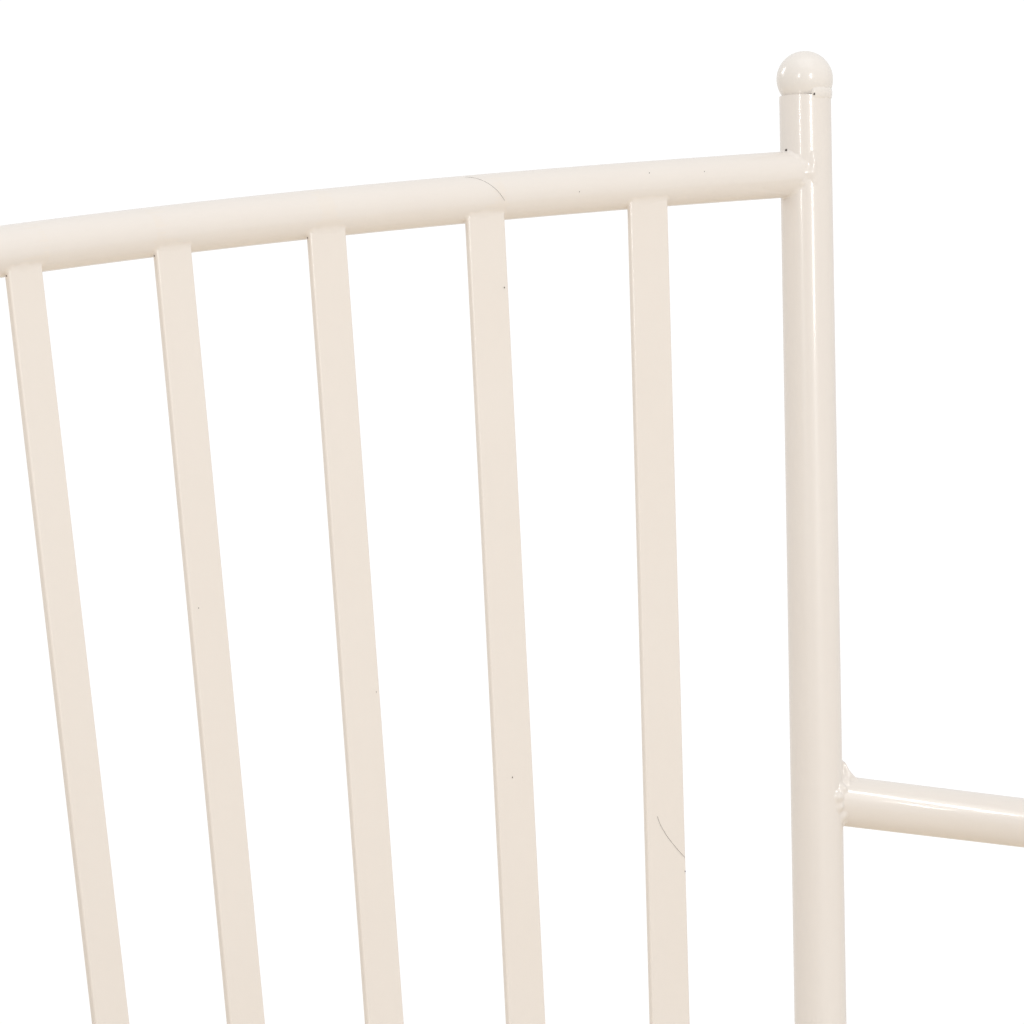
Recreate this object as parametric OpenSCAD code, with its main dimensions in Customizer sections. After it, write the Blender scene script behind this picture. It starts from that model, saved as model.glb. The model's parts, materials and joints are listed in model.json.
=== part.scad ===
// Bow-backed metal daybed with an open slatted back, ball finials and sloping open arms.
// Millimetres. +Z is up, the front faces -Y, and the origin is on the floor under the
// middle of the daybed. Round tube and flat bar throughout, welded and painted.

/* [Overall] */
// Depth from the front of the leg plates to the back of the top rail
overall_depth = 820; // [760:5:900]
// Height of the top rail's axis above the floor
back_height = 905; // [860:5:960]
// Height of the seat rails' axis above the floor
seat_height = 300; // [270:5:320]

/* [Back] */
// Plan radius of the top rail's axis
bow_radius = 1190; // [1000:5:1400]
// Plan angle from the middle of the bow to each back post
post_angle = 40; // [36:0.5:45]
// Lean of the back away from the sitter, in degrees
back_lean = 8.5; // [2:0.5:10]
// Plan angle between the posts' feet as a share of the angle between their heads
fan_share = 0.941; // [0.9:0.001:1]
// Spread of the slats' feet as a share of even spacing between the posts' feet
foot_spread = 0.987; // [0.95:0.001:1]
// Height of the lower back rail's axis above the seat rails' axis
low_rail_rise = 60; // [50:1:80]
// Number of slats in the back
back_slat_count = 15; // [11:1:17]
// How far the slats' middle plane stands in front of the rails' axes
slat_offset = 7.5; // [6:0.5:8]

/* [Arms] */
// Distance along the back post from the top rail's axis down to the arm's axis
arm_below_rail = 325; // [280:1:380]
// Downward slope of the arm, in degrees
arm_slope = 12.1; // [8:0.1:15]
// Length of the arm from the back post's axis to its corner point
arm_run = 330; // [260:5:400]
// Centre-line radius of the arm's bend
arm_bend_radius = 320; // [200:5:360]

/* [Tube and bar] */
// Outer diameter of the posts and legs
post_d = 27; // [24:0.5:30]
// Outer diameter of the arms
arm_d = 26; // [22:0.5:26]
// Outer diameter of the top rail
rail_d = 24; // [20:0.5:25]
// Outer diameter of the lower back rail
low_rail_d = 20; // [19:0.5:24]
// Outer diameter of the seat rails
seat_rail_d = 25; // [22:0.5:26]
// Wall thickness of every tube
tube_wall = 1.8; // [1.5:0.1:2.5]
// Width of a back slat
slat_w = 23.5; // [20:0.5:28]
// Thickness of a back slat
slat_t = 3.5; // [3:0.1:4]
// Diameter of a ball finial
ball_d = 29.5; // [28:0.5:34]
// Height of the post's rim above the rail or arm that it carries
rim_rise = 40; // [36:1:50]

/* [Seat] */
// Number of slats across the seat
seat_slat_count = 16; // [12:2:18]
// Distance between the middles of neighbouring seat slats
seat_slat_pitch = 112; // [100:1:112]
// Width of a seat slat
seat_slat_w = 32; // [25:1:40]
// Thickness of a seat slat
seat_slat_t = 4; // [3:0.5:6]
// Outer diameter of the seat's mid rail
mid_rail_d = 22; // [19:0.5:24]
// Distance of the mid rail in front of the back posts' feet
mid_rail_set = 100; // [80:5:110]

/* [Feet and centre legs] */
// Outer diameter of a foot cap
foot_d = 32; // [30:0.5:36]
// Height of a foot cap
foot_h = 26; // [20:1:35]
// Thickness of a foot cap's floor
foot_floor = 4; // [3:0.5:6]
// Width of a leg plate and of its strap along the rail
strap_w = 40; // [34:1:50]
// Thickness of a leg strap
strap_t = 3; // [2.5:0.5:4]
// Thickness of a leg plate
plate_t = 4; // [3:0.5:6]
// Distance from the rail's axis to each strap bolt's axis
bolt_offset = 27; // [25:0.5:32]
// Diameter of a strap bolt
bolt_d = 6; // [5:1:6]

/* [Hidden] */
$fn = 64;

bolt_clearance = 0.25;      // radial room of a bolt in its hole
strap_clearance = 0.25;     // radial room of a strap round its rail
edge_r = 1.1;               // corner radius of the back slats
seat_edge_r = 1.2;          // corner radius of the seat slats
post_bend_radius = 150;     // centre-line radius of the bend above a back leg
post_bend_rise = 28;        // height of that bend's corner above the seat rails
plate_l = 78;               // length of a leg plate across the rail
reach = 30;                 // how far a coping rod runs past a joint each way
cope_trim = 4;              // how far the mid rail's ends stop short of the side rails' axes
seam = 0.01;                // parting between the straight and bent lengths of one tube
slat_overhang = 6;          // how far a seat slat runs past its end rails' axes
bow_fn = 1080;              // facets of a full turn of a bow
bend_fn = 180;              // facets of a full turn of a bend
bolt_head_d = 10 / cos(30); // across the corners of a 10 mm hexagon
bolt_head_h = 4;
nut_h = 5;
bolt_tip = 2;               // thread that shows below a nut

rail_r = rail_d / 2;
post_r = post_d / 2;
bore_r = post_r - tube_wall;
seat_r = seat_rail_d / 2;
ball_rise = sqrt(pow(ball_d / 2, 2) - pow(bore_r, 2));   // ball's centre above the rim
low_rail_z = seat_height + low_rail_rise;
slat_drop = back_height - low_rail_z;
low_radius = bow_radius - slat_drop * tan(back_lean);
low_angle = post_angle * fan_share;
bow_y = overall_depth / 2 - rail_r - bow_radius;         // Y of the bow's centre
front_y = plate_l / 2 - overall_depth / 2;               // Y of the front posts
deck_z = seat_height + seat_r;                           // underside of the seat slats

BACK_SLATS = [for (i = [1:back_slat_count]) str("back_slat_", i < 10 ? "0" : "", i)];
SEAT_SLATS = [for (i = [1:seat_slat_count]) str("seat_slat_", i < 10 ? "0" : "", i)];
SIDES = ["left", "right"];

function unit(v) = v / norm(v);
function mirror_x(v) = [-v.x, v.y, v.z];
// A point of a bow round the vertical line through [0, bow_y]
function bow_point(radius, angle, z) = [radius * sin(angle), bow_y + radius * cos(angle), z];

post_head = bow_point(bow_radius, post_angle, back_height);
post_foot = bow_point(low_radius, low_angle, low_rail_z);
post_up = unit(post_head - post_foot);
post_rim = post_head + post_up * rim_rise;
post_corner = post_foot - post_up * (low_rail_rise - post_bend_rise) / post_up.z;
leg_seat = [post_corner.x, post_corner.y, seat_height];

arm_start = post_head - post_up * arm_below_rail;
arm_dir = [cos(post_angle) * cos(arm_slope), -sin(post_angle) * cos(arm_slope), -sin(arm_slope)];
arm_corner = arm_start + arm_dir * arm_run;
arm_end = [arm_corner.x, front_y, arm_corner.z - (arm_corner.y - front_y) * tan(arm_slope)];
front_rim = arm_end + [0, 0, rim_rise];

side_corner = [arm_end.x, leg_seat.y - (arm_end.x - leg_seat.x) * tan(post_angle), seat_height];
side_end = [arm_end.x, front_y, seat_height];
side_points = [leg_seat, side_corner, side_end];
arm_points = [arm_start, arm_corner, arm_end];

rear_rail_radius = norm([leg_seat.x, leg_seat.y - bow_y]);
rear_rail_angle = atan2(leg_seat.x, leg_seat.y - bow_y);
mid_rail_y = leg_seat.y - mid_rail_set;
// Y of the rail that carries a seat slat's rear end
function rear_rail_y(x) = abs(x) < leg_seat.x
    ? bow_y + sqrt(pow(rear_rail_radius, 2) - x * x)
    : leg_seat.y - (abs(x) - leg_seat.x) * tan(post_angle);
front_leg_top = [0, front_y, seat_height];
rear_leg_top = [0, bow_y + rear_rail_radius, seat_height];

// Moves what is drawn at the origin to a point, with +Z along z_dir and +X nearest x_dir
module place(point, z_dir, x_dir) {
    z = unit(z_dir);
    y = unit(cross(z, x_dir));
    x = cross(y, z);
    multmatrix([for (k = [0:2]) [x[k], y[k], z[k], point[k]]]) children();
}

module on_side(side) {
    if (side == "left") mirror([1, 0, 0]) children();
    else children();
}

// Section of a tube, or of a solid rod when the wall is 0
module tube_section(d, wall) {
    difference() {
        circle(d = d, $fn = 48);
        if (wall > 0) circle(d = d - 2 * wall, $fn = 48);
    }
}

module straight_tube(from, to, d, wall) {
    axis = to - from;
    side = abs(unit(axis).z) < 0.9 ? [0, 0, 1] : [1, 0, 0];
    place(from, axis, side) linear_extrude(height = norm(axis)) tube_section(d, wall);
}

// Tube through three points, bent to one radius at the middle one. The first child is cut from
// its first straight and the second child from its last.
module bent_tube(points, bend_radius, d) {
    d1 = unit(points[1] - points[0]);
    d2 = unit(points[2] - points[1]);
    turn = acos(d1 * d2);
    setback = bend_radius * tan(turn / 2);
    inward = unit(d2 - d1 * (d1 * d2));
    bend_start = points[1] - d1 * setback;
    bend_end = points[1] + d2 * setback;
    difference() {
        straight_tube(points[0], bend_start - d1 * seam, d, tube_wall);
        if ($children > 0) children(0);
    }
    place(bend_start + inward * bend_radius, cross(d1, inward), -inward)
        rotate_extrude(angle = turn, $fn = bend_fn) translate([bend_radius, 0]) tube_section(d, tube_wall);
    difference() {
        straight_tube(bend_end + d2 * seam, points[2], d, tube_wall);
        if ($children > 1) children(1);
    }
}

// Arc round [0, bow_y] from one plan angle to another, measured from +Y towards +X
module bow_arc(radius, from_angle, to_angle, z, d, wall) {
    translate([0, bow_y, z]) rotate([0, 0, 90 - to_angle])
        rotate_extrude(angle = to_angle - from_angle, $fn = bow_fn)
            translate([radius, 0]) tube_section(d, wall);
}

// Rail bowed from one side to the other, with the child cut from each end
module bowed_rail(radius, end_angle, z, d) difference() {
    bow_arc(radius, -end_angle, end_angle, z, d, tube_wall);
    both_sides() children();
}

// Flat bar with small round edges, standing along +Z, its width along X
module flat_bar(length, w, t, r) {
    linear_extrude(height = length) {
        square([w, t - 2 * r], center = true);
        square([w - 2 * r, t], center = true);
        for (x = [-1, 1], y = [-1, 1])
            translate([x * (w / 2 - r), y * (t / 2 - r)]) circle(r = r);
    }
}

module both_sides() {
    children();
    mirror([1, 0, 0]) children();
}

// A length of a right-hand post's outside round a joint, to cope what is welded there
module post_rod(point, up) straight_tube(point - up * reach, point + up * reach, post_d, 0);

module back_top_rail() color("linen")
    bowed_rail(bow_radius, post_angle, back_height, rail_d) post_rod(post_head, post_up);

module back_lower_rail() color("linen")
    bowed_rail(low_radius, low_angle, low_rail_z, low_rail_d) post_rod(post_foot, post_up);

// One back slat, its ends coped to the undersides of the rails
module back_slat(i) {
    turn = 2 * i / (back_slat_count + 1) - 1;
    head_angle = turn * post_angle;
    foot_angle = turn * low_angle * foot_spread;
    head = bow_point(bow_radius, head_angle, back_height);
    foot = bow_point(low_radius, foot_angle, low_rail_z);
    along = unit(head - foot);
    across = [cos(head_angle), -sin(head_angle), 0];
    forward = unit(cross(across, along));
    front_face = slat_offset + slat_t / 2;
    bar_head = head + forward * slat_offset - along * sqrt(pow(rail_r, 2) - pow(front_face, 2));
    bar_foot = foot + forward * slat_offset + along * sqrt(pow(low_rail_d / 2, 2) - pow(front_face, 2));
    color("linen") difference() {
        place(bar_foot, along, across) flat_bar(norm(bar_head - bar_foot), slat_w, slat_t, edge_r);
        bow_arc(bow_radius, head_angle - 2, head_angle + 2, back_height, rail_d, 0);
        bow_arc(low_radius, foot_angle - 2, foot_angle + 2, low_rail_z, low_rail_d, 0);
    }
}

module back_post(side) color("linen") on_side(side)
    bent_tube([[leg_seat.x, leg_seat.y, foot_floor], post_corner, post_rim], post_bend_radius, post_d);

module back_finial(side) color("linen") on_side(side)
    translate(post_rim + post_up * ball_rise) sphere(d = ball_d);

module arm(side) color("linen") on_side(side) bent_tube(arm_points, arm_bend_radius, arm_d) {
    post_rod(arm_start, post_up);
    post_rod(arm_end, [0, 0, 1]);
}

module front_post(side) color("linen") on_side(side)
    straight_tube([arm_end.x, front_y, foot_floor], front_rim, post_d, tube_wall);

module front_finial(side) color("linen") on_side(side)
    translate(front_rim + [0, 0, ball_rise]) sphere(d = ball_d);

module front_seat_rail() color("linen") difference() {
    straight_tube(mirror_x(side_end), side_end, seat_rail_d, tube_wall);
    both_sides() post_rod(side_end, [0, 0, 1]);
}

module rear_seat_rail() color("linen")
    bowed_rail(rear_rail_radius, rear_rail_angle, seat_height, seat_rail_d) post_rod(leg_seat, [0, 0, 1]);

module side_rail(side) color("linen") on_side(side) bent_tube(side_points, arm_bend_radius, seat_rail_d) {
    post_rod(leg_seat, [0, 0, 1]);
    union() {
        post_rod(side_end, [0, 0, 1]);
        straight_tube(mirror_x(side_end), side_end, seat_rail_d, 0);
    }
}

// Rail under the middle of the seat, its top level with the others'. Its ends are trimmed short
// of the side rails' crowns, then coped to their sides.
module mid_seat_rail() color("linen") {
    end = [leg_seat.x + mid_rail_set / tan(post_angle), mid_rail_y, deck_z - mid_rail_d / 2];
    joint = [end.x, end.y, seat_height];
    along = unit(side_corner - leg_seat) * 1.5 * reach;
    difference() {
        difference() {
            straight_tube(mirror_x(end), end, mid_rail_d, tube_wall);
            both_sides() translate(end) rotate([0, 0, -post_angle])
                translate([0, reach - cope_trim, 0]) cube(2 * reach, center = true);
        }
        both_sides() straight_tube(joint - along, joint + along, seat_rail_d, 0);
    }
}

// One seat slat, laid from front to back on the rails' tops
module seat_slat(i) {
    x = (i - (seat_slat_count + 1) / 2) * seat_slat_pitch;
    length = rear_rail_y(x) - front_y + 2 * slat_overhang;
    color("linen") translate([x, front_y - slat_overhang, deck_z + seat_slat_t / 2]) rotate([-90, 0, 0])
        flat_bar(length, seat_slat_w, seat_slat_t, seat_edge_r);
}

module centre_leg(top) color("linen")
    straight_tube([top.x, top.y, foot_floor], [top.x, top.y, seat_height - seat_r - plate_t],
        post_d, tube_wall);

module bolt_places(top)
    for (y = [-1, 1]) translate([top.x, top.y + y * bolt_offset, seat_height - seat_r]) children();

module leg_plate(top) color("linen") difference() {
    translate([top.x, top.y, seat_height - seat_r - plate_t / 2])
        cube([strap_w, plate_l, plate_t], center = true);
    bolt_places(top) translate([0, 0, -plate_t - 1])
        cylinder(d = bolt_d + 2 * bolt_clearance, h = plate_t + 2);
}

// Strap over a rail, with an ear on each side for a bolt
module leg_strap(top) {
    inner = seat_r + strap_clearance;
    color("linen") difference() {
        translate([top.x - strap_w / 2, top.y, top.z]) rotate([90, 0, 90]) linear_extrude(height = strap_w)
            difference() {
                union() {
                    circle(r = inner + strap_t);
                    translate([0, -seat_r / 2]) square([2 * (inner + strap_t), seat_r], center = true);
                    translate([0, strap_t / 2 - seat_r]) square([plate_l, strap_t], center = true);
                }
                circle(r = inner);
                translate([0, -seat_r]) square([2 * inner, 2 * seat_r], center = true);
            }
        bolt_places(top) translate([0, 0, -1])
            cylinder(d = bolt_d + 2 * bolt_clearance, h = strap_t + 2);
    }
}

module strap_bolt() {
    length = strap_t + plate_t + nut_h + bolt_tip;
    translate([0, 0, strap_t - length]) cylinder(d = bolt_d, h = length);
    translate([0, 0, strap_t]) cylinder(d = bolt_head_d, h = bolt_head_h, $fn = 6);
}

module strap_nut() translate([0, 0, -plate_t - nut_h]) difference() {
    cylinder(d = bolt_head_d, h = nut_h, $fn = 6);
    translate([0, 0, -1]) cylinder(d = bolt_d, h = nut_h + 2);
}

module foot_cap(x, y) translate([x, y, 0]) difference() {
    cylinder(d = foot_d, h = foot_h);
    translate([0, 0, foot_floor]) cylinder(d = post_d, h = foot_h);
}

module strap_bolts() color("silver") for (top = [front_leg_top, rear_leg_top]) bolt_places(top) strap_bolt();
module strap_nuts() color("silver") for (top = [front_leg_top, rear_leg_top]) bolt_places(top) strap_nut();

module foot_caps() color("whitesmoke") {
    both_sides() foot_cap(leg_seat.x, leg_seat.y);
    both_sides() foot_cap(side_end.x, front_y);
    for (top = [front_leg_top, rear_leg_top]) foot_cap(top.x, top.y);
}

back_top_rail();
back_lower_rail();
for (i = [1:back_slat_count])
    back_slat(i);
for (side = SIDES) {
    back_post(side);
    back_finial(side);
    arm(side);
    front_post(side);
    front_finial(side);
    side_rail(side);
}
front_seat_rail();
rear_seat_rail();
mid_seat_rail();
for (i = [1:seat_slat_count])
    seat_slat(i);
centre_leg(front_leg_top);  // front_centre_leg
centre_leg(rear_leg_top);  // rear_centre_leg
leg_plate(front_leg_top);  // front_leg_plate
leg_plate(rear_leg_top);  // rear_leg_plate
leg_strap(front_leg_top);  // front_leg_strap
leg_strap(rear_leg_top);  // rear_leg_strap
strap_bolts();
strap_nuts();
foot_caps();
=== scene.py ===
"""Bow-backed metal daybed: enamel finishes, weld detail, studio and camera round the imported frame."""

from __future__ import annotations

import json
import logging
import math
from dataclasses import dataclass, field
from enum import Enum

import bpy
from mathutils import Matrix, Vector


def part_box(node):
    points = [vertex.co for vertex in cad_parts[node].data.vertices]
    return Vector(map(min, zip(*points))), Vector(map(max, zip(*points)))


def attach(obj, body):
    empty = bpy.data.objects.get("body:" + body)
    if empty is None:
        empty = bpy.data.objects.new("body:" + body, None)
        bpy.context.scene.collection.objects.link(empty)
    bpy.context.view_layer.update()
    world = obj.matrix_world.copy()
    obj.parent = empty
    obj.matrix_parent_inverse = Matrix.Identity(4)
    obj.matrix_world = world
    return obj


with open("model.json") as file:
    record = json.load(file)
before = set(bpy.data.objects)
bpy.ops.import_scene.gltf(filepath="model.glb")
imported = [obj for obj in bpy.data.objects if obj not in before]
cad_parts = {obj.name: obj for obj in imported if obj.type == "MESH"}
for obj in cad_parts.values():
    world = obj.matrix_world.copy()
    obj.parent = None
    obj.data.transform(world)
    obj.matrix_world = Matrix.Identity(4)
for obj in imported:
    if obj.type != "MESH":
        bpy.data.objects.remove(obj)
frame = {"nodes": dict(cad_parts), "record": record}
LOG = logging.getLogger("daybed")
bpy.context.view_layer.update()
MM = 0.001
BODY = "root"
# how far along the right arm its own lights are aimed
ARM_LIT_AT = 0.045
MIRROR = Matrix.Scale(-1, 4, Vector((1, 0, 0)))


class Slot(str, Enum):
    """The record's material slots."""

    FRAME = "frame_enamel"
    SLAT = "slat_enamel"
    FINIAL = "finial_enamel"
    ZINC = "zinc_fasteners"
    FOOT = "foot_plastic"


# ---------------------------------------------------------------- small tools


def linear(hex_colour: str) -> tuple[float, float, float, float]:
    """Turns an sRGB hex colour to linear.

    Args:
        hex_colour: Six hex digits, with or without a leading hash.

    Returns:
        Linear red, green and blue, with an alpha of 1.
    """
    digits = hex_colour.lstrip("#")
    channels = (int(digits[k:k + 2], 16) / 255 for k in (0, 2, 4))
    red, green, blue = (c / 12.92 if c <= 0.04045 else ((c + 0.055) / 1.055) ** 2.4 for c in channels)
    return red, green, blue, 1.0


def add_node(tree: bpy.types.NodeTree, kind: str, links: dict | None = None,
             sockets: dict | None = None, **settings: object) -> bpy.types.Node:
    """Adds a node with its settings, socket values and incoming links.

    Args:
        tree: Node tree to add to.
        kind: Blender's name of the node type.
        links: Input name or index to the output socket that feeds it.
        sockets: Input name or index to its fixed value.
        settings: Properties of the node itself.

    Returns:
        The new node.
    """
    node = tree.nodes.new(kind)
    for key, value in settings.items():
        setattr(node, key, value)
    for key, value in (sockets or {}).items():
        node.inputs[key].default_value = value
    for key, output in (links or {}).items():
        tree.links.new(output, node.inputs[key])
    return node


def new_material(name: str) -> tuple[bpy.types.Material, bpy.types.NodeTree]:
    """Starts a material.

    Args:
        name: Name of the material.

    Returns:
        The material and its empty node tree.
    """
    material = bpy.data.materials.new(name)
    material.use_nodes = True
    material.node_tree.nodes.clear()
    return material, material.node_tree


def deselect() -> None:
    """Leaves nothing selected, so that an operator acts only on what is added next."""
    bpy.ops.object.select_all(action="DESELECT")


def select_only(*pieces: bpy.types.Object) -> None:
    """Selects these objects and makes the first one active."""
    deselect()
    for piece in pieces:
        piece.select_set(True)
    bpy.context.view_layer.objects.active = pieces[0]


def settle(piece: bpy.types.Object, place: Matrix) -> None:
    """Moves a piece's mesh to its place and leaves its object at the origin.

    Args:
        piece: Object to move.
        place: Where it goes, applied after the object's own placing.
    """
    piece.data.transform(place @ piece.matrix_world)
    piece.matrix_world = Matrix.Identity(4)


def apply_modifier(piece: bpy.types.Object, kind: str, **settings: object) -> None:
    """Adds a modifier and applies it.

    Args:
        piece: Object to shape.
        kind: Blender's name of the modifier type.
        settings: Properties of the modifier.
    """
    select_only(piece)
    modifier = piece.modifiers.new(kind.title(), kind)
    for key, value in settings.items():
        setattr(modifier, key, value)
    bpy.ops.object.modifier_apply(modifier=modifier.name)


def axes(origin: Vector, z_dir: Vector, x_dir: Vector) -> Matrix:
    """Frame of a joint.

    Args:
        origin: Where the joint is.
        z_dir: Direction of its local Z.
        x_dir: Direction that its local X is nearest to.

    Returns:
        Matrix from the joint's frame to the daybed's.
    """
    z_axis = z_dir.normalized()
    y_axis = z_axis.cross(x_dir).normalized()
    x_axis = y_axis.cross(z_axis)
    return Matrix.Translation(origin) @ Matrix((x_axis, y_axis, z_axis)).transposed().to_4x4()


# ---------------------------------------------------------------- finishes


@dataclass(frozen=True)
class GlossEnamel:
    """Solvent enamel, sprayed thick over welded steel and air dried: a deep even gloss, a faint
    orange peel, and a body colour that shifts slightly where the film is thick or thin."""

    name: str
    thick_hex: str
    thin_hex: str
    roughness: float = 0.3
    peel_mm: float = 2.6
    peel_depth_mm: float = 0.008
    film_mm: float = 70.0
    wave_mm: float = 18.0
    wave_depth_mm: float = 0.05

    def material(self) -> bpy.types.Material:
        """Builds the enamel's material.

        Returns:
            The material, whose texture sizes follow the fields.
        """
        material, tree = new_material(self.name)
        place = add_node(tree, "ShaderNodeTexCoord").outputs["Object"]
        film = add_node(tree, "ShaderNodeTexNoise", {"Vector": place},
                        {"Scale": 1 / (self.film_mm * MM), "Detail": 3.0, "Roughness": 0.5})
        tone = add_node(tree, "ShaderNodeMix", {"Factor": film.outputs["Fac"]}, data_type="RGBA")
        tone.inputs["A"].default_value = linear(self.thin_hex)
        tone.inputs["B"].default_value = linear(self.thick_hex)
        peel = add_node(tree, "ShaderNodeTexNoise", {"Vector": place},
                        {"Scale": 1 / (self.peel_mm * MM), "Detail": 1.0})
        # slow waves of a hand-sprayed film, which make reflections wander
        wave = add_node(tree, "ShaderNodeTexNoise", {"Vector": place},
                        {"Scale": 1 / (self.wave_mm * MM), "Detail": 1.0})
        slow = add_node(tree, "ShaderNodeBump", {"Height": wave.outputs["Fac"]},
                        {"Strength": 1.0, "Distance": self.wave_depth_mm * MM})
        bump = add_node(tree, "ShaderNodeBump",
                        {"Height": peel.outputs["Fac"], "Normal": slow.outputs["Normal"]},
                        {"Strength": 1.0, "Distance": self.peel_depth_mm * MM})
        dull = add_node(tree, "ShaderNodeMapRange", {"Value": film.outputs["Fac"]},
                        {"To Min": self.roughness * 0.85, "To Max": self.roughness * 1.15})
        shader = add_node(tree, "ShaderNodeBsdfPrincipled",
                          {"Base Color": tone.outputs["Result"], "Roughness": dull.outputs["Result"],
                           "Normal": bump.outputs["Normal"]},
                          {"IOR": 1.5, "Coat Weight": 0.5, "Coat Roughness": 0.06, "Coat IOR": 1.5})
        add_node(tree, "ShaderNodeOutputMaterial", {"Surface": shader.outputs["BSDF"]})
        return material


@dataclass(frozen=True)
class ZincPlate:
    """Bright zinc electroplate over cold-headed steel: a pale bluish grey, finely mottled."""

    name: str = "bright zinc plate"
    light_hex: str = "#C9CCD0"
    dark_hex: str = "#A7ABB0"
    spangle_mm: float = 1.5
    spangle_depth_mm: float = 0.01

    def material(self) -> bpy.types.Material:
        """Builds the zinc's material.

        Returns:
            The material, whose texture sizes follow the fields.
        """
        material, tree = new_material(self.name)
        place = add_node(tree, "ShaderNodeTexCoord").outputs["Object"]
        # the spangle is coarser than true plate's, so that it shows
        grain = add_node(tree, "ShaderNodeTexNoise", {"Vector": place},
                         {"Scale": 1 / (self.spangle_mm * MM), "Detail": 4.0})
        tone = add_node(tree, "ShaderNodeMix", {"Factor": grain.outputs["Fac"]}, data_type="RGBA")
        tone.inputs["A"].default_value = linear(self.dark_hex)
        tone.inputs["B"].default_value = linear(self.light_hex)
        dull = add_node(tree, "ShaderNodeMapRange", {"Value": grain.outputs["Fac"]},
                        {"To Min": 0.25, "To Max": 0.42})
        bump = add_node(tree, "ShaderNodeBump", {"Height": grain.outputs["Fac"]},
                        {"Distance": self.spangle_depth_mm * MM})
        shader = add_node(tree, "ShaderNodeBsdfPrincipled",
                          {"Base Color": tone.outputs["Result"], "Roughness": dull.outputs["Result"],
                           "Normal": bump.outputs["Normal"]}, {"Metallic": 1.0})
        add_node(tree, "ShaderNodeOutputMaterial", {"Surface": shader.outputs["BSDF"]})
        return material


@dataclass(frozen=True)
class MouldedPolyethylene:
    """Injection-moulded polyethylene: a soft satin off-white with a fine eroded grain."""

    name: str = "moulded polyethylene"
    light_hex: str = "#E6E0D6"
    scuffed_hex: str = "#CFC8BC"
    grain_mm: float = 0.8
    grain_depth_mm: float = 0.03
    scuff_mm: float = 14.0

    def material(self) -> bpy.types.Material:
        """Builds the plastic's material.

        Returns:
            The material, whose texture sizes follow the fields.
        """
        material, tree = new_material(self.name)
        place = add_node(tree, "ShaderNodeTexCoord").outputs["Object"]
        grain = add_node(tree, "ShaderNodeTexNoise", {"Vector": place},
                         {"Scale": 1 / (self.grain_mm * MM), "Detail": 2.0})
        scuff = add_node(tree, "ShaderNodeTexNoise", {"Vector": place},
                         {"Scale": 1 / (self.scuff_mm * MM), "Detail": 5.0})
        worn = add_node(tree, "ShaderNodeMapRange", {"Value": scuff.outputs["Fac"]},
                        {"From Min": 0.55, "From Max": 0.8})
        tone = add_node(tree, "ShaderNodeMix", {"Factor": worn.outputs["Result"]}, data_type="RGBA")
        tone.inputs["A"].default_value = linear(self.light_hex)
        tone.inputs["B"].default_value = linear(self.scuffed_hex)
        bump = add_node(tree, "ShaderNodeBump", {"Height": grain.outputs["Fac"]},
                        {"Distance": self.grain_depth_mm * MM})
        shader = add_node(tree, "ShaderNodeBsdfPrincipled",
                          {"Base Color": tone.outputs["Result"], "Normal": bump.outputs["Normal"]},
                          {"IOR": 1.51, "Roughness": 0.5})
        add_node(tree, "ShaderNodeOutputMaterial", {"Surface": shader.outputs["BSDF"]})
        return material


@dataclass(frozen=True)
class ShadowedSeam:
    """Bare dark steel at the bottom of a pinhole or a chip, where the enamel did not close; also the painted
    shade in the open seam under the ball.
    """

    name: str = "bare steel in a pinhole"
    light_hex: str = "#6E6660"
    dark_hex: str = "#3F3A37"
    rust_mm: float = 0.6

    def material(self) -> bpy.types.Material:
        """Builds the bare steel's material.

        Returns:
            The material, whose texture sizes follow the fields.
        """
        material, tree = new_material(self.name)
        place = add_node(tree, "ShaderNodeTexCoord").outputs["Object"]
        rust = add_node(tree, "ShaderNodeTexNoise", {"Vector": place},
                        {"Scale": 1 / (self.rust_mm * MM), "Detail": 3.0})
        tone = add_node(tree, "ShaderNodeMix", {"Factor": rust.outputs["Fac"]}, data_type="RGBA")
        tone.inputs["A"].default_value = linear(self.dark_hex)
        tone.inputs["B"].default_value = linear(self.light_hex)
        shader = add_node(tree, "ShaderNodeBsdfPrincipled", {"Base Color": tone.outputs["Result"]},
                          {"Roughness": 0.7})
        add_node(tree, "ShaderNodeOutputMaterial", {"Surface": shader.outputs["BSDF"]})
        return material


@dataclass
class Finishes:
    """Every finish of the daybed, and the record slot that each one dresses."""

    by_slot: dict[Slot, bpy.types.Material] = field(default_factory=dict)
    # the dark finish of pits and hairlines, which also draws the painted shade in the seam under the ball
    pinhole: bpy.types.Material | None = None

    def build(self) -> None:
        """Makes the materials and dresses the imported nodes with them."""
        self.by_slot = {
            Slot.FRAME: GlossEnamel("gloss enamel on tube", "#EDE7E0", "#EAE3DC").material(),
            Slot.SLAT: GlossEnamel("gloss enamel on flat bar", "#EDE6DE", "#EBE3DA", peel_mm=3.0).material(),
            Slot.FINIAL: GlossEnamel("gloss enamel on ball", "#EFEAE4", "#ECE6DF", roughness=0.22).material(),
            Slot.ZINC: ZincPlate().material(),
            Slot.FOOT: MouldedPolyethylene().material(),
        }
        self.pinhole = ShadowedSeam().material()
        for part in frame["record"]["subparts"]:
            node = frame["nodes"][part["node"]]
            node.data.materials.clear()
            node.data.materials.append(self.by_slot[Slot(part["material_slot"])])
        LOG.info("finishes: %d nodes dressed", len(frame["nodes"]))

    def dress(self, piece: bpy.types.Object, slot: Slot) -> None:
        """Gives a new piece the finish of a slot and makes it ride on the daybed.

        Args:
            piece: Object to dress.
            slot: The record's slot whose finish it takes.
        """
        piece.data.materials.clear()
        piece.data.materials.append(self.by_slot[slot])
        select_only(piece)
        bpy.ops.object.shade_smooth()
        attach(piece, BODY)


# ---------------------------------------------------------------- the frame's plan


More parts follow.
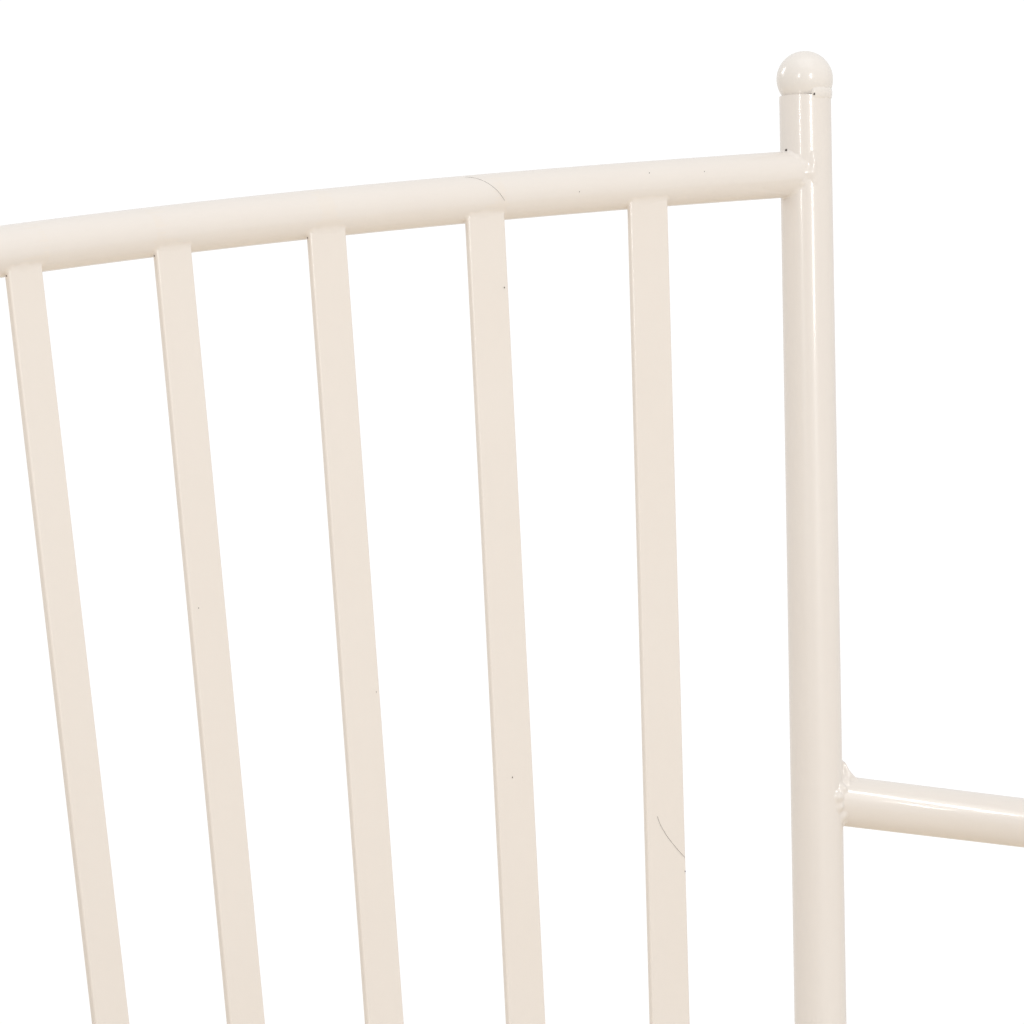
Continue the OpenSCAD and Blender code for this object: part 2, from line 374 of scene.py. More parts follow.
@dataclass
class BowPlan:
    """Where the joints of the bowed back and its arms are, in metres and degrees.

    The radius, angles and tube sizes repeat the design's; heights and the bow's centre come from
    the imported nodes.
    """

    bow_radius: float = 1.190
    post_angle: float = 40.0
    back_lean: float = 8.5
    fan_share: float = 0.941
    foot_spread: float = 0.987
    slat_count: int = 15
    slat_offset: float = 0.0075
    slat_w: float = 0.0235
    slat_t: float = 0.0035
    arm_below_rail: float = 0.325
    arm_slope: float = 12.1
    post_r: float = 0.0135
    arm_r: float = 0.013
    least_cope: float = 0.05

    def __post_init__(self) -> None:
        """Reads the rails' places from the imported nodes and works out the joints."""
        low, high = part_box("back_top_rail")
        self.rail_r = (high.z - low.z) / 2
        self.rail_z = (high.z + low.z) / 2
        self.bow_y = high.y - self.rail_r - self.bow_radius
        low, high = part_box("back_lower_rail")
        self.low_r = (high.z - low.z) / 2
        self.low_z = (high.z + low.z) / 2
        lean = math.tan(math.radians(self.back_lean))
        self.low_radius = self.bow_radius - (self.rail_z - self.low_z) * lean
        self.low_angle = self.post_angle * self.fan_share
        self.post_head = self.bow_point(self.bow_radius, self.post_angle, self.rail_z)
        self.post_foot = self.bow_point(self.low_radius, self.low_angle, self.low_z)
        self.post_up = (self.post_head - self.post_foot).normalized()
        turn, slope = math.radians(self.post_angle), math.radians(self.arm_slope)
        self.arm_start = self.post_head - self.post_up * self.arm_below_rail
        self.arm_dir = Vector((math.cos(turn) * math.cos(slope), -math.sin(turn) * math.cos(slope),
                               -math.sin(slope)))
        self.rail_dir = Vector((-math.cos(turn), math.sin(turn), 0.0))
        low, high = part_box("right_back_finial")
        self.ball_centre, self.ball_r = (low + high) / 2, (high.x - low.x) / 2
        off_axis = (self.ball_centre - self.post_head).cross(self.post_up).length
        LOG.info("plan: the finial is %.2f mm off the post's axis", off_axis / MM)
        if off_axis > MM:
            raise ValueError("the plan's sizes differ from the packed model's")

    def bow_point(self, radius: float, angle: float, height: float) -> Vector:
        """Finds a point of a bow.

        Args:
            radius: Radius of the bow.
            angle: Plan angle from the middle of the back, in degrees.
            height: Height above the floor.

        Returns:
            The point.
        """
        turn = math.radians(angle)
        return Vector((radius * math.sin(turn), self.bow_y + radius * math.cos(turn), height))

    def slat_frames(self, k: int) -> tuple[Matrix, Matrix]:
        """Frames of a slat's two ends.

        Args:
            k: Number of the slat, from 1 at the left end.

        Returns:
            Frame at the top rail's axis and frame at the lower rail's. Local X runs along the
            rail, local Y faces away from the sitter and local Z points up the slat.
        """
        turn = 2 * k / (self.slat_count + 1) - 1
        head_turn, foot_turn = turn * self.post_angle, turn * self.low_angle * self.foot_spread
        head = self.bow_point(self.bow_radius, head_turn, self.rail_z)
        foot = self.bow_point(self.low_radius, foot_turn, self.low_z)
        along = (head - foot).normalized()
        return self.leaned(head, along, head_turn), self.leaned(foot, along, foot_turn)

    @staticmethod
    def sitter_side(along: Vector, up: Vector) -> Vector:
        """Finds the way in which a joint faces the sitter.

        Args:
            along: Direction of the bar that ends at the joint.
            up: Direction of the post that it ends on.

        Returns:
            Unit vector square to both, on the sitter's side.
        """
        front = along.cross(up).normalized()
        return -front if front.y > 0 else front

    def cope_reach(self, radius: float, turn: float) -> float:
        """Finds where the coped end of a tube meets its post.

        Args:
            radius: Radius of the tube.
            turn: Angle round the tube from its top, in radians.

        Returns:
            Distance from the post's axis, along the tube.
        """
        # the least share keeps the root real where a tube is about as wide as its post
        share = max(self.least_cope, 1 - (math.sin(turn) * radius / self.post_r) ** 2)
        return self.post_r * math.sqrt(share)

    @staticmethod
    def leaned(origin: Vector, along: Vector, turn: float) -> Matrix:
        """Frame of a slat's end, whose X and Z needn't be square.

        Args:
            origin: Where the slat's end is.
            along: Direction up the slat, its local Z.
            turn: Plan angle in degrees at which local X runs along the rail.

        Returns:
            Matrix from the slat end's frame to the daybed's.
        """
        across = Vector((math.cos(math.radians(turn)), -math.sin(math.radians(turn)), 0.0))
        back = along.cross(across).normalized()
        return Matrix.Translation(origin) @ Matrix((across, back, along)).transposed().to_4x4()


# ---------------------------------------------------------------- weld detail


@dataclass
class WeldShop:
    """Makes paint-filled welds: stubs of the joined bars and a few beads are run together, then
    relaxed, so that the inside corners fill and the rest sinks just below the bars' surfaces."""

    voxel: float = 0.8 * MM
    stub_edge_share: float = 0.06
    bar_edge: float = 1.0 * MM

    def stub(self, radius: float, start: Vector, end: Vector) -> bpy.types.Object:
        """Makes a round stub with softened end edges.

        Args:
            radius: Radius of the stub.
            start: Middle of one end.
            end: Middle of the other.

        Returns:
            The stub.
        """
        deselect()
        middle, span = (start + end) / 2, end - start
        bpy.ops.mesh.primitive_cylinder_add(vertices=96, radius=radius, depth=span.length)
        stub = bpy.context.object
        bpy.ops.object.mode_set(mode="EDIT")
        bpy.ops.mesh.select_all(action="SELECT")
        bpy.ops.mesh.bevel(offset=radius * self.stub_edge_share, segments=1, affect="EDGES",
                           offset_type="OFFSET")
        bpy.ops.object.mode_set(mode="OBJECT")
        settle(stub, Matrix.Translation(middle) @ span.to_track_quat("Z", "Y").to_matrix().to_4x4())
        return stub

    def bar(self, width: float, thick: float, length: float, middle: Vector) -> bpy.types.Object:
        """Makes a flat stub of bar.

        Args:
            width: Size along X.
            thick: Size along Y.
            length: Size along Z.
            middle: Where its middle goes.

        Returns:
            The stub.
        """
        deselect()
        bpy.ops.mesh.primitive_cube_add(size=1.0)
        bar = bpy.context.object
        bpy.ops.transform.resize(value=(width, thick, length))
        bpy.ops.object.transform_apply(location=True, rotation=True, scale=True)
        bpy.ops.object.mode_set(mode="EDIT")
        bpy.ops.mesh.select_all(action="SELECT")
        bpy.ops.mesh.bevel(offset=self.bar_edge, segments=3, affect="EDGES")
        bpy.ops.object.mode_set(mode="OBJECT")
        settle(bar, Matrix.Translation(middle))
        return bar

    def bead(self, radius: float, middle: Vector,
             stretch: tuple[float, float, float] = (1, 1, 1)) -> bpy.types.Object:
        """Makes one lump of weld.

        Args:
            radius: Radius before it is stretched.
            middle: Where its middle goes.
            stretch: Factors along X, Y and Z.

        Returns:
            The lump.
        """
        deselect()
        bpy.ops.mesh.primitive_ico_sphere_add(subdivisions=3, radius=radius)
        bead = bpy.context.object
        bpy.ops.object.mode_set(mode="EDIT")
        bpy.ops.mesh.select_all(action="SELECT")
        bpy.ops.transform.resize(value=stretch)
        bpy.ops.object.mode_set(mode="OBJECT")
        settle(bead, Matrix.Translation(middle))
        return bead

    def run_together(self, name: str, lumps: list[bpy.types.Object], rounds: int,
                     voxel: float | None = None, keep: float = 0.4) -> bpy.types.Object:
        """Runs stubs and beads together into one weld.

        Args:
            name: Name of the piece.
            lumps: The stubs and beads.
            rounds: How many rounds of relaxing fill its corners.
            voxel: Size of the working grid, or None for the shop's own.
            keep: Share of the faces to keep.

        Returns:
            The weld, a closed mesh.
        """
        select_only(*lumps)
        bpy.ops.object.join()
        weld = bpy.context.object
        weld.name = weld.data.name = name
        apply_modifier(weld, "REMESH", mode="VOXEL", voxel_size=voxel or self.voxel)
        apply_modifier(weld, "SMOOTH", factor=0.5, iterations=rounds)
        apply_modifier(weld, "DECIMATE", ratio=keep)
        return weld

    def copy(self, weld: bpy.types.Object, name: str, place: Matrix) -> bpy.types.Object:
        """Copies a weld with its own mesh.

        Args:
            weld: Weld to copy.
            name: Name of the copy.
            place: Where it goes. A mirror image keeps its faces outward.

        Returns:
            The copy.
        """
        twin = weld.copy()
        twin.data = weld.data.copy()
        twin.name = twin.data.name = name
        bpy.context.scene.collection.objects.link(twin)
        twin.data.transform(place)
        if place.determinant() < 0:
            twin.data.flip_normals()
        return twin


@dataclass
class PostJoints:
    """The welds on the two back posts: top rail, arm and the finial's seam."""

    plan: BowPlan
    shop: WeldShop
    finishes: Finishes
    stub_l: float = 0.022
    sink: float = 0.00025
    arm_stub_down: float = 0.03
    arm_stub_up: float = 0.036
    arm_stub_out: float = 0.026
    face_turn: float = 14.0
    seam_drop: float = 8.98 * MM

    def rail_weld(self) -> bpy.types.Object:
        """Makes the saddle weld between the right-hand post and the end of the top rail.

        Returns:
            The weld, in the daybed's frame.
        """
        p = self.plan
        head, up, along = p.post_head, p.post_up, p.rail_dir
        front = p.sitter_side(along, up)
        lumps = [self.shop.stub(p.post_r - self.sink, head - up * self.stub_l, head + up * self.stub_l),
                 self.shop.stub(p.rail_r - self.sink, head, head + along * (p.post_r + self.stub_l))]
        # each bead: its turn round the rail from the top in degrees, and its radius in mm
        for turn, size in ((22, 1.6), (48, 1.8), (70, 2.0), (92, 1.9),
                           (116, 1.8), (142, 1.6), (205, 1.8), (270, 1.9)):
            a = math.radians(turn)
            rim = up * math.cos(a) + front * math.sin(a)
            reach = p.cope_reach(p.rail_r, a)
            spot = head + rim * (p.rail_r - 0.9 * MM) + along * (reach + 0.2 * MM)
            lumps.append(self.shop.bead(size * MM, spot))
        # the last pass of the weld, carried over onto the face of the post
        turn = math.radians(self.face_turn)
        face = front * math.cos(turn) + along * math.sin(turn)
        for rise, shift, size in ((8.0, 0.4, 1.7), (4.0, 0.0, 2.1), (-1.0, 0.6, 2.0), (-5.5, -0.5, 1.8)):
            lumps.append(self.shop.bead(size * MM, head + face * (p.post_r - 1.35 * MM) + up * rise * MM
                                        + along * shift * MM, (1.1, 1.1, 2.1)))
        return self.shop.run_together("right_rail_weld", lumps, 24, keep=0.6)

    def arm_weld(self) -> bpy.types.Object:
        """Makes the arm's weld: a broad fillet on top and a run of beads on the sitter's side.

        Returns:
            The weld, in the daybed's frame.
        """
        p = self.plan
        start, up, out = p.arm_start, p.post_up, p.arm_dir
        front = p.sitter_side(out, up)
        lumps = [self.shop.stub(p.post_r - self.sink, start - up * self.arm_stub_down,
                                start + up * self.arm_stub_up),
                 self.shop.stub(p.arm_r - self.sink, start, start + out * (p.post_r + self.arm_stub_out))]
        over = (up - out * up.dot(out)).normalized()
        # the broad fillet, as a fan of beads that steps out along the arm and up the post
        for away, rise, size in ((0.6, 0.4, 3.4), (3.4, -0.4, 2.5), (6.4, -1.2, 1.9),
                                 (-0.6, 3.2, 2.4), (-1.6, 6.0, 1.9)):
            for spread in (-5.0, -1.7, 1.7, 5.0):
                droop = 0.10 * abs(spread)
                lumps.append(self.shop.bead(size * MM, start + out * (p.post_r + (away - droop) * MM)
                                            + over * (p.arm_r + (rise - droop) * MM) + front * spread * MM))
        # the run on the sitter's side: turn round the arm from its top in degrees, and radius in mm
        for turn, size in ((18, 2.6), (40, 2.4), (63, 2.2), (86, 2.7), (108, 2.3), (131, 2.6), (152, 2.1)):
            a = math.radians(turn)
            rim = over * math.cos(a) + front * math.sin(a)
            reach = p.cope_reach(p.arm_r, a)
            spot = start + rim * (p.arm_r - 0.4 * MM) + out * (reach + 1.2 * MM)
            lumps.append(self.shop.bead(size * MM, spot))
        return self.shop.run_together("right_arm_weld", lumps, 22, keep=0.7)

    def finial_seam(self) -> bpy.types.Object:
        """Makes the paint that bridges the seam between the ball and the post's open end.

        Returns:
            The bridge of paint, in the daybed's frame.
        """
        p = self.plan
        rim = p.post_head + p.post_up * ((p.ball_centre - p.post_head).dot(p.post_up) - self.seam_drop)
        out = -p.rail_dir
        side = p.post_up.cross(out).normalized()
        lumps = []
        for turn in range(-100, 91, 12):
            a = math.radians(turn)
            spot = rim + (out * math.cos(a) + side * math.sin(a)) * (p.post_r - 1.5 * MM)
            size = (2.3 + 0.15 * math.sin(turn * 0.21)) * MM
            lumps.append(self.shop.bead(size, spot + p.post_up * 0.6 * MM, (1.0, 1.0, 1.9)))
        return self.shop.run_together("right_finial_seam", lumps, 24, voxel=0.5 * MM, keep=0.6)

    def build(self) -> None:
        """Makes the right-hand welds and mirrors them to the left."""
        for weld, slot in ((self.rail_weld(), Slot.FRAME), (self.arm_weld(), Slot.FRAME),
                           (self.finial_seam(), Slot.FINIAL)):
            twin = self.shop.copy(weld, weld.name.replace("right", "left"), MIRROR)
            for piece in (weld, twin):
                self.finishes.dress(piece, slot)
            LOG.info("%s: %d faces, and its twin", weld.name, len(weld.data.polygons))


@dataclass
class SlatWelds:
    """The small welds that hold each slat's head and foot to the rails."""

    plan: BowPlan
    shop: WeldShop
    finishes: Finishes
    rail_stub: float = 0.019
    bar_stub: float = 0.018
    bar_shift: float = 0.001
    slimmer: float = 0.4 * MM

    # each bead: its place along the rail and its radius in mm, its stretch along the rail, and
    # how far it rises onto the rail in mm
    hands: tuple[tuple[tuple[float, float, float, float], ...], ...] = (
        ((-3.0, 2.6, 3.0, 0.6), (4.0, 2.6, 2.8, 0.4), (-10.4, 3.0, 1.0, 0.6)),
        ((-2.0, 2.6, 3.0, 0.4), (9.2, 3.6, 1.1, 2.0), (-10.6, 2.8, 1.0, 0.6)),
        ((0.0, 2.8, 4.2, 0.8), (-9.8, 2.7, 1.1, 0.8), (9.8, 2.7, 1.1, 0.8)),
    )

    def end_weld(self, name: str, rail_r: float, above: float, hand: int) -> bpy.types.Object:
        """One slat end's weld, at the origin.

        Args:
            name: Name of the piece.
            rail_r: Radius of the rail that carries the end.
            above: 1 where the rail is above the slat, -1 where it is below.
            hand: Which of the hands of weld: a plain run, one with a bulge, or the smoothest.

        Returns:
            The weld.
        """
        p = self.plan
        # the bar is a little slimmer than the slat, so that only the filled corners stand out
        lumps = [self.shop.stub(rail_r, Vector((-self.rail_stub, 0, 0)), Vector((self.rail_stub, 0, 0))),
                 self.shop.bar(p.slat_w - self.slimmer, p.slat_t - self.slimmer, self.bar_stub,
                               Vector((0, -p.slat_offset, -above * (rail_r + self.bar_shift))))]
        edge = -above * math.sqrt(rail_r ** 2 - (p.slat_offset + p.slat_t / 2) ** 2)
        front = -p.slat_offset - p.slat_t / 2
        for x, size, spread, rise in self.hands[hand]:
            spot = Vector((x * MM, front + (size - 0.45) * MM, edge + above * (rise - 0.3) * MM))
            lumps.append(self.shop.bead(size * MM, spot, (spread, 1.0, 1.3)))
        return self.shop.run_together(name, lumps, 34, voxel=0.6 * MM, keep=0.3)

    def build(self) -> None:
        """Makes each hand of weld once and copies it to the slats it belongs to."""
        p = self.plan
        for end, radius, above in (("head", p.rail_r, 1.0), ("foot", p.low_r, -1.0)):
            for hand in range(len(self.hands)):
                weld = self.end_weld(f"slat_{end}_weld", radius, above, hand)
                for k in range(hand + 1, p.slat_count + 1, len(self.hands)):
                    place = p.slat_frames(k)[0 if end == "head" else 1]
                    self.finishes.dress(self.shop.copy(weld, f"slat_{end}_weld_{k:02d}", place), Slot.SLAT)
                LOG.info("slat %s welds, hand %d: %d faces each", end, hand + 1, len(weld.data.polygons))
                bpy.data.objects.remove(weld)


@dataclass
class SeatWelds:
    """Fillets where the seat rails meet the legs, and where the seat slats lie on their rails."""

    plan: BowPlan
    shop: WeldShop
    finishes: Finishes
    rail_r: float = 0.0125
    ring: tuple[int, ...] = (20, 65, 110, 160, 200, 250, 295, 340)
    post_stub: float = 0.02
    rail_stub: float = 0.016
    slat_count: int = 16
    tack_pitch_mm: float = 2.4
    tack_inset: float = 6 * MM
    tack_gap: float = 0.3 * MM
    tack_rise: float = 0.4 * MM

    def ring_weld(self, name: str, post: Vector, ways: tuple[Vector, ...], radius: float) -> None:
        """The weld of one upright and the rails that end on it, and its mirrored twin.

        Args:
            name: Name of the right-hand piece.
            post: Where the axes cross.
            ways: Directions of the rails.
            radius: Radius of the rails.
        """
        up = Vector((0, 0, 1))
        lumps = [self.shop.stub(self.plan.post_r, post - up * self.post_stub,
                                post + up * self.post_stub)]
        for way in ways:
            lumps.append(self.shop.stub(radius, post, post + way * (self.plan.post_r + self.rail_stub)))
            side = way.cross(up).normalized()
            for turn in self.ring:
                a = math.radians(turn)
                rim = up * math.cos(a) + side * math.sin(a)
                reach = self.plan.cope_reach(radius, a)
                size = (1.7 + 0.3 * math.sin(turn * 0.9)) * MM
                spot = post + rim * (radius - 0.5 * MM) + way * (reach + 0.4 * MM)
                lumps.append(self.shop.bead(size, spot))
        weld = self.shop.run_together(name, lumps, 12, voxel=1.0 * MM, keep=0.35)
        for piece in (weld, self.shop.copy(weld, name.replace("right", "left"), MIRROR)):
            self.finishes.dress(piece, Slot.FRAME)

    def tack(self) -> bpy.types.Object:
        """A short run of weld beside a seat slat, at the origin, along Y."""
        lumps = [self.shop.bead((1.5 + 0.25 * math.sin(k * 2.1)) * MM,
                                Vector((0, (k - 2) * self.tack_pitch_mm * MM, 0)), (1.0, 1.2, 0.8))
                 for k in range(5)]
        return self.shop.run_together("seat_slat_tack", lumps, 3, voxel=0.5 * MM, keep=0.35)

    def build(self) -> None:
        """Makes the welds at the legs and the tacks on both sides of every seat slat's ends."""
        p = self.plan
        places = {mount["name"]: Vector(mount["pos_m"]) for mount in frame["record"]["mounts"]}
        low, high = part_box("front_seat_rail")
        seat_z = (low.z + high.z) / 2
        back, front = places["right_back_foot"], places["right_front_foot"]
        back.z = front.z = seat_z
        turn = math.radians(p.post_angle)
        out = Vector((math.cos(turn), -math.sin(turn), 0.0))
        rear = math.atan2(back.x, back.y - p.bow_y)
        back_ways = (out, Vector((-math.cos(rear), math.sin(rear), 0.0)))
        self.ring_weld("right_back_leg_weld", back, back_ways, self.rail_r)
        self.ring_weld("right_front_leg_weld", front, (Vector((0, 1, 0)), Vector((-1, 0, 0))), self.rail_r)
        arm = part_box("right_arm")
        slope = math.radians(p.arm_slope)
        arm_z = arm[0].z + p.arm_r / math.cos(slope)
        self.ring_weld("right_arm_front_weld", Vector((front.x, front.y, arm_z)),
                       (Vector((0, math.cos(slope), math.sin(slope))),), p.arm_r)
        tack = self.tack()
        count = 0
        for k in range(1, self.slat_count + 1):
            low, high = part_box(f"seat_slat_{k:02d}")
            for x in (low.x - self.tack_gap, high.x + self.tack_gap):
                for y in (low.y + self.tack_inset, high.y - self.tack_inset):
                    place = Matrix.Translation((x, y, low.z + self.tack_rise))
                    self.finishes.dress(self.shop.copy(tack, f"seat_tack_{count + 1:02d}", place), Slot.SLAT)
                    count += 1
        bpy.data.objects.remove(tack)
        LOG.info("seat tacks: %d", count)


@dataclass
class PaintFlaws:
    """Pinholes and hairlines that a hand-sprayed finish shows close up, and a dark thread of painted shade in
    the open seam under the ball.
    """

    plan: BowPlan
    finishes: Finishes
    lens: tuple[float, float, float] = (1.0, 0.8, 0.22)
    seam_drop: float = 8.7 * MM

    def pit(self, name: str, spot: Vector, normal: Vector, radius_mm: float) -> None:
        """Adds a pinhole, a shallow dark lens that lies in the surface.

        Args:
            name: Name of the piece.
            spot: Where it is.
            normal: The way the surface looks there.
            radius_mm: Its radius.
        """
        deselect()
        bpy.ops.mesh.primitive_uv_sphere_add(segments=16, ring_count=8, radius=radius_mm * MM)
        pit = bpy.context.object
        pit.name = pit.data.name = name
        bpy.ops.object.mode_set(mode="EDIT")
        bpy.ops.mesh.select_all(action="SELECT")
        bpy.ops.transform.resize(value=self.lens)
        bpy.ops.object.mode_set(mode="OBJECT")
        settle(pit, axes(spot, normal, Vector((0.3, 0.2, 1.0))))
        self.finish(pit)

    def hairline(self, name: str, spots: list[Vector], width_mm: float) -> None:
        """Adds a hairline scratch, a fine closed thread laid in the surface. The seam's painted shade is
        drawn as such a thread too.

        Args:
            name: Name of the piece.
            spots: Points that it runs through.
            width_mm: Its width.
        """
        path = bpy.data.curves.new(name, "CURVE")
        path.dimensions, path.bevel_depth, path.bevel_resolution = "3D", width_mm / 2 * MM, 1
        path.use_fill_caps = True
        line = path.splines.new("POLY")
        line.points.add(len(spots) - 1)
        for point, spot in zip(line.points, spots):
            point.co = (*spot, 1.0)
        thread = bpy.data.objects.new(name, path)
        bpy.context.scene.collection.objects.link(thread)
        select_only(thread)
        bpy.ops.object.convert(target="MESH")
        self.finish(bpy.context.object)

    def finish(self, piece: bpy.types.Object) -> None:
        """Gives a flaw, and the seam's painted shade, its dark finish and makes it ride on the daybed.

        Args:
            piece: The flaw, or the dark thread that paints the seam's shade.
        """
        piece.data.materials.clear()
        piece.data.materials.append(self.finishes.pinhole)
        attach(piece, BODY)

    def on_slat(self, k: int, across_mm: float, down_mm: float) -> tuple[Vector, Vector]:
        """Finds a point on the sitter's face of a slat.

        Args:
            k: Number of the slat, from 1 at the left end.
            across_mm: Distance from the slat's centre line.
            down_mm: Distance down the slat from the top rail's axis.

        Returns:
            The point, and the way that face looks.
        """
        head, _ = self.plan.slat_frames(k)
        front = self.plan.slat_offset + self.plan.slat_t / 2
        return head @ Vector((across_mm * MM, -front, -down_mm * MM)), -head.to_3x3().col[1]

    def on_rail(self, from_post_mm: float, turn: float) -> tuple[Vector, Vector]:
        """Finds a point on the top rail.

        Args:
            from_post_mm: Distance along the rail from the right-hand post's axis.
            turn: Angle from the crown towards the sitter, in degrees.

        Returns:
            The point, and the way the surface looks there.
        """
        p = self.plan
        angle = p.post_angle - math.degrees(from_post_mm * MM / p.bow_radius)
        middle = p.bow_point(p.bow_radius, angle, p.rail_z)
        front = Vector((-math.sin(math.radians(angle)), -math.cos(math.radians(angle)), 0.0))
        way = Vector((0, 0, 1)) * math.cos(math.radians(turn)) + front * math.sin(math.radians(turn))
        return middle + way * p.rail_r, way

    def build(self) -> None:
        """Adds the flaws, and the dark thread of painted shade in the seam under the ball."""
        p = self.plan
        # each pit: its slat, its places across and down in mm, and its radius in mm
        pits = ((14, 8.8, 46, 0.42), (14, -2.0, 290, 0.40), (15, 10.9, 352, 0.38),
                (12, -7.0, 180, 0.30), (11, 4.0, 402, 0.34), (13, 9.0, 236, 0.26))
        for n, (k, across, down, size) in enumerate(pits):
            self.pit(f"slat_pit_{n + 1}", *self.on_slat(k, across, down), size)
        # each pit: its distance from the post in mm, its turn in degrees and its radius in mm
        for n, (away, turn, size) in enumerate(((104, 55, 0.36), (70, 62, 0.28), (150, 88, 0.30))):
            self.pit(f"rail_pit_{n + 1}", *self.on_rail(away, turn), size)
        self.hairline("slat_hairline", [self.on_slat(15, -5.4 + 16.4 * t ** 1.4, 322 + 23 * t)[0]
                                        for t in (k / 10 for k in range(11))], 0.13)
        self.hairline("rail_hairline", [self.on_rail(216 - 18 * t, 14 + 80 * t ** 1.5)[0]
                                        for t in (k / 12 for k in range(13))], 0.15)
        up, along = p.post_up, p.rail_dir
        front = p.sitter_side(along, up)
        top = p.post_head + up * (p.rail_r + 0.6 * MM) + along * (p.post_r + 0.3 * MM) + front * 2.5 * MM
        self.pit("rail_weld_pinhole", top, (up + along + front).normalized(), 0.8)
        for n, k in enumerate((11, 12, 13)):
            spot, way = self.on_slat(k, -13.0, 11.4)
            self.pit(f"slat_weld_pinhole_{n + 1}", spot - way * 1.2 * MM, way, 0.45)
        # the open part of the seam under the ball, a dark thread of painted shade in its gap, and the pinhole
        # at its end
        rim = p.post_head + up * ((p.ball_centre - p.post_head).dot(up) - self.seam_drop)
        ring = [rim + (-front * math.cos(a) + along * math.sin(a)) * (p.post_r - 0.45 * MM)
                for a in (math.radians(t) for t in range(20, 171, 6))]
        self.hairline("finial_seam_shadow", ring, 0.7)
        outward = front + along
        self.pit("finial_seam_pinhole", ring[-1] + outward.normalized() * 0.9 * MM, outward, 0.75)
        LOG.info("paint flaws: done")


# ---------------------------------------------------------------- studio


@dataclass(frozen=True)
class SoftBox:
    """One soft light, placed round the near top corner.

    Azimuth 0 is on the -Y side and 90 on the +X side, seen from above. A light with `only` adds
    a gloss highlight to the pieces it names and lights nothing else.
    """

    name: str
    azimuth: float
    elevation: float
    distance: float
    width: float
    height: float
    watts: float
    tint_hex: str = "#FFFFFF"
    only: tuple[str, ...] = ()

    def build(self, target: Vector) -> None:
        """Places the light.

        Args:
            target: Point that it faces and that its distance is measured from.
        """
        a, e = math.radians(self.azimuth), math.radians(self.elevation)
        out = Vector((math.sin(a) * math.cos(e), -math.cos(a) * math.cos(e), math.sin(e)))
        data = bpy.data.lights.new(self.name, "AREA")
        data.shape, data.size, data.size_y = "RECTANGLE", self.width, self.height
        data.energy, data.color = self.watts, linear(self.tint_hex)[:3]
        light = bpy.data.objects.new(self.name, data)
        light.location = target + out * self.distance
        light.rotation_euler = (-out).to_track_quat("-Z", "Y").to_euler()
        if self.only:
            lit = bpy.data.collections.new(self.name)
            for name in self.only:
                lit.objects.link(bpy.data.objects[name])
            light.light_linking.receiver_collection = lit
            light.visible_diffuse = False
        bpy.context.scene.collection.objects.link(light)


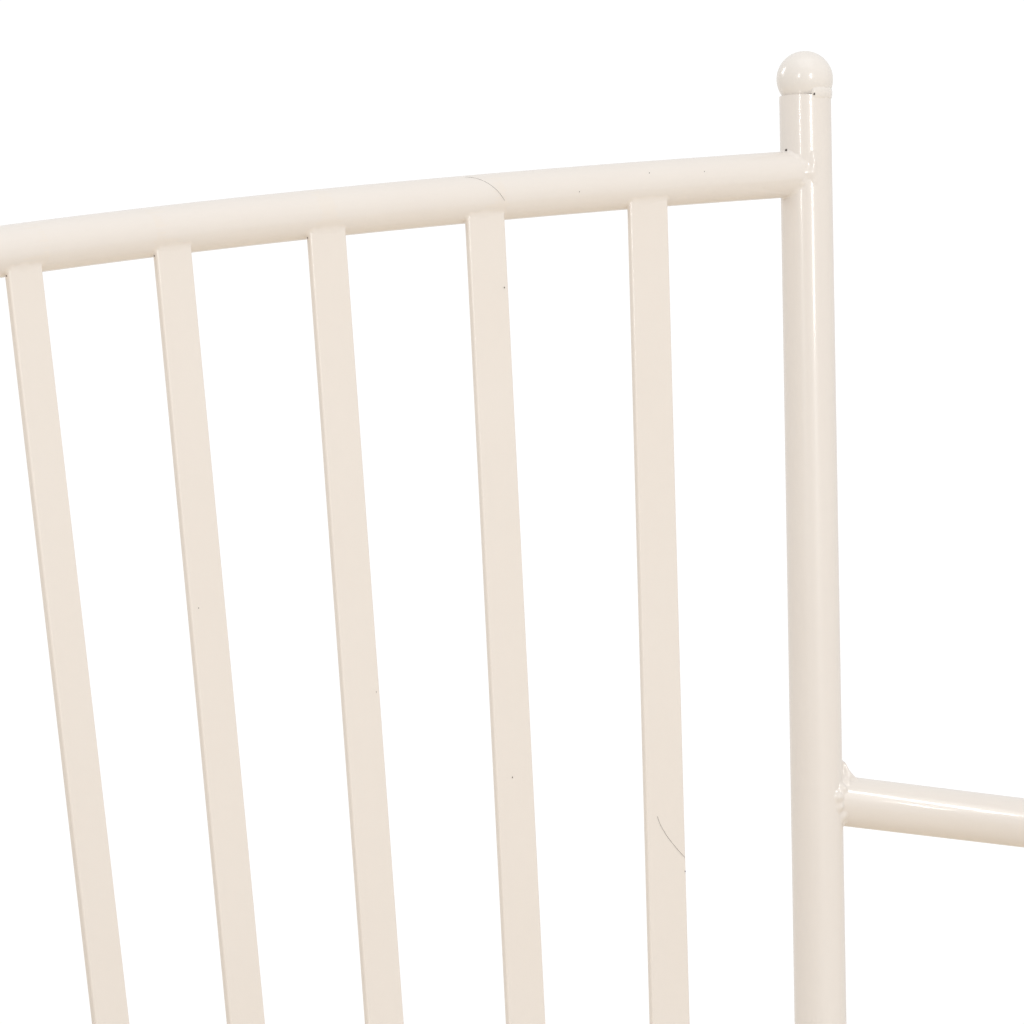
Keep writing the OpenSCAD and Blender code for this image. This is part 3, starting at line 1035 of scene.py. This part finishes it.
@dataclass
class Studio:
    """A plain pale floor, a white room and soft light, with a camera on the near top corner."""

    target: Vector
    arm_target: Vector
    eye: Vector = field(default_factory=lambda: Vector((-2.10773, -0.82840, 1.17158)))
    heading: float = 68.779
    dip: float = 8.332
    tilt: float = -0.917
    lens: float = 204.394
    sensor_w: float = 36.0
    ambient: float = 0.83
    dim_way: tuple[float, float, float] = (-0.766, 0.643, 0.0)
    dim_from: float = 0.2
    dim_share: float = 0.62
    seen_strength: float = 1.05
    room_hex: str = "#FFFDFB"
    floor_hex: str = "#E9DDCB"
    floor_r: float = 2.4
    floor_t: float = 0.01

    def floor(self) -> None:
        """Lays a round pale floor."""
        deselect()
        bpy.ops.mesh.primitive_cylinder_add(vertices=128, radius=self.floor_r, depth=self.floor_t,
                                            location=(0, 0, -self.floor_t / 2))
        floor = bpy.context.object
        floor.name = "floor"
        settle(floor, Matrix.Identity(4))
        material, tree = new_material("matt studio paint")
        shader = add_node(tree, "ShaderNodeBsdfPrincipled", None,
                          {"Base Color": linear(self.floor_hex), "Roughness": 0.9})
        add_node(tree, "ShaderNodeOutputMaterial", {"Surface": shader.outputs["BSDF"]})
        floor.data.materials.append(material)

    def room(self) -> None:
        """White to look at, and a softer white as a light."""
        world = bpy.data.worlds.new("white room")
        world.use_nodes = True
        tree = world.node_tree
        tree.nodes.clear()
        seen = add_node(tree, "ShaderNodeBackground", None,
                        {"Color": (1, 1, 1, 1), "Strength": self.seen_strength})
        # a little less light from the room's far left, as beside a dark doorway
        way = add_node(tree, "ShaderNodeTexCoord").outputs["Generated"]
        side = add_node(tree, "ShaderNodeVectorMath", {0: way}, {1: self.dim_way},
                        operation="DOT_PRODUCT")
        level = add_node(tree, "ShaderNodeMapRange", {"Value": side.outputs["Value"]},
                         {"From Min": self.dim_from, "From Max": 1.0, "To Min": self.ambient,
                          "To Max": self.ambient * self.dim_share})
        lit = add_node(tree, "ShaderNodeBackground", {"Strength": level.outputs["Result"]},
                       {"Color": linear(self.room_hex)})
        path = add_node(tree, "ShaderNodeLightPath")
        both = add_node(tree, "ShaderNodeMixShader",
                        {0: path.outputs["Is Camera Ray"], 1: lit.outputs["Background"],
                         2: seen.outputs["Background"]})
        add_node(tree, "ShaderNodeOutputWorld", {"Surface": both.outputs["Shader"]})
        bpy.context.scene.world = world

    def camera(self) -> None:
        """Sets the camera."""
        yaw, dip, tilt = (math.radians(v) for v in (self.heading, self.dip, self.tilt))
        ahead = Vector((math.sin(yaw) * math.cos(dip), math.cos(yaw) * math.cos(dip), -math.sin(dip)))
        right = Vector((math.cos(yaw), -math.sin(yaw), 0.0))
        up = right.cross(ahead)
        right, up = right * math.cos(tilt) + up * math.sin(tilt), up * math.cos(tilt) - right * math.sin(tilt)
        data = bpy.data.cameras.new("camera")
        data.lens, data.sensor_width = self.lens, self.sensor_w
        data.clip_start, data.clip_end = 0.05, 100.0
        camera = bpy.data.objects.new("camera", data)
        camera.matrix_world = Matrix.Translation(self.eye) @ Matrix((right, up, -ahead)).transposed().to_4x4()
        bpy.context.scene.collection.objects.link(camera)
        bpy.context.scene.camera = camera

    def build(self) -> None:
        """Builds the floor, the room, the lights and the camera."""
        self.floor()
        self.room()
        # after each name: azimuth, elevation, distance, width, height and watts
        for box in (
            SoftBox("key right", -46.0, 17.5, 2.6, 0.42, 0.65, 10.5),
            SoftBox("key left", -97.0, 20.0, 2.6, 0.20, 0.7, 7.0),
            SoftBox("far left", -182.0, 20.0, 3.0, 0.5, 0.9, 12.0),
            SoftBox("overhead", -60.0, 78.0, 2.6, 2.2, 2.2, 9.0),
        ):
            box.build(self.target)
        # two small flags of light close to the arm, for its gloss alone
        arm = ("right_arm", "right_arm_weld")
        for box in (SoftBox("arm glint upper", 9.0, 27.0, 0.45, 0.03, 0.18, 0.38, only=arm),
                    SoftBox("arm glint lower", 0.0, 13.0, 0.45, 0.02, 0.06, 0.08, only=arm)):
            box.build(self.arm_target)
        self.camera()
        bpy.context.scene.view_settings.view_transform = "Standard"
        LOG.info("studio: ready")


def main() -> None:
    """Builds the daybed's finishes and details, then the studio round it."""
    logging.basicConfig(level=logging.INFO, format="%(name)s: %(message)s")
    finishes = Finishes()
    finishes.build()
    plan = BowPlan()
    shop = WeldShop()
    PostJoints(plan, shop, finishes).build()
    SlatWelds(plan, shop, finishes).build()
    SeatWelds(plan, shop, finishes).build()
    PaintFlaws(plan, finishes).build()
    Studio(plan.post_head, plan.arm_start + plan.arm_dir * ARM_LIT_AT).build()


if __name__ == "__main__":
    main()
